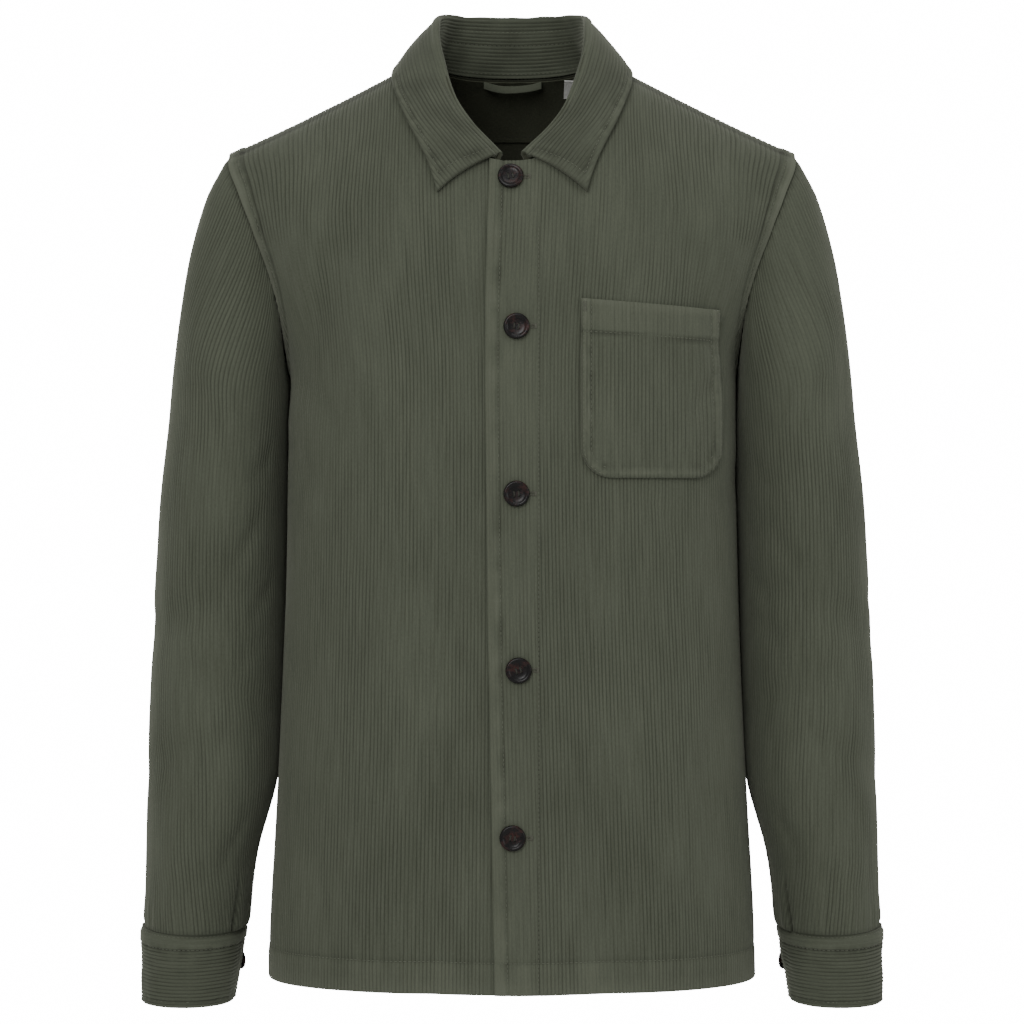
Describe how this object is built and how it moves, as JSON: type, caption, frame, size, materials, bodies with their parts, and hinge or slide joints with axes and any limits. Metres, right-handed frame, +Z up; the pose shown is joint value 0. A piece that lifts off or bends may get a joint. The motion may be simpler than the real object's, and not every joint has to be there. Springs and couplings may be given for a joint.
{
  "type": "corduroy jacket",
  "caption": "Dark olive corduroy overshirt jacket with a shirt collar, a patch chest pocket, dark horn buttons and buttoned cuffs, filled out as if worn.",
  "frame": {"origin": "midway between the high shoulder points, on the centre front plane, where the garment hangs on its wearer", "axes": "+Z up towards the collar, +X towards the wearer's left sleeve, -Y the way the buttoned front faces"},
  "size_m": [0.5894, 0.2666, 0.7883],
  "materials": {
    "corduroy": "brushed cotton corduroy with raised vertical wales, matte with a soft sheen",
    "facing": "plain dark woven cotton, matte",
    "horn": "polished dark brown horn-look resin",
    "label": "plain white woven tape, blank"
  },
  "bodies": {
    "root": {"front_left": "corduroy", "front_right": "corduroy", "back": "corduroy", "neck_facing": "facing", "sleeve_left": "corduroy", "sleeve_right": "corduroy", "cuff_left": "corduroy", "cuff_right": "corduroy", "collar": "corduroy", "chest_pocket": "corduroy", "hanger_loop": "corduroy", "neck_label": "label", "button_1": "horn", "button_2": "horn", "button_3": "horn", "button_4": "horn", "button_5": "horn", "cuff_button_left": "horn", "cuff_button_right": "horn"}
  },
  "joints": []
}
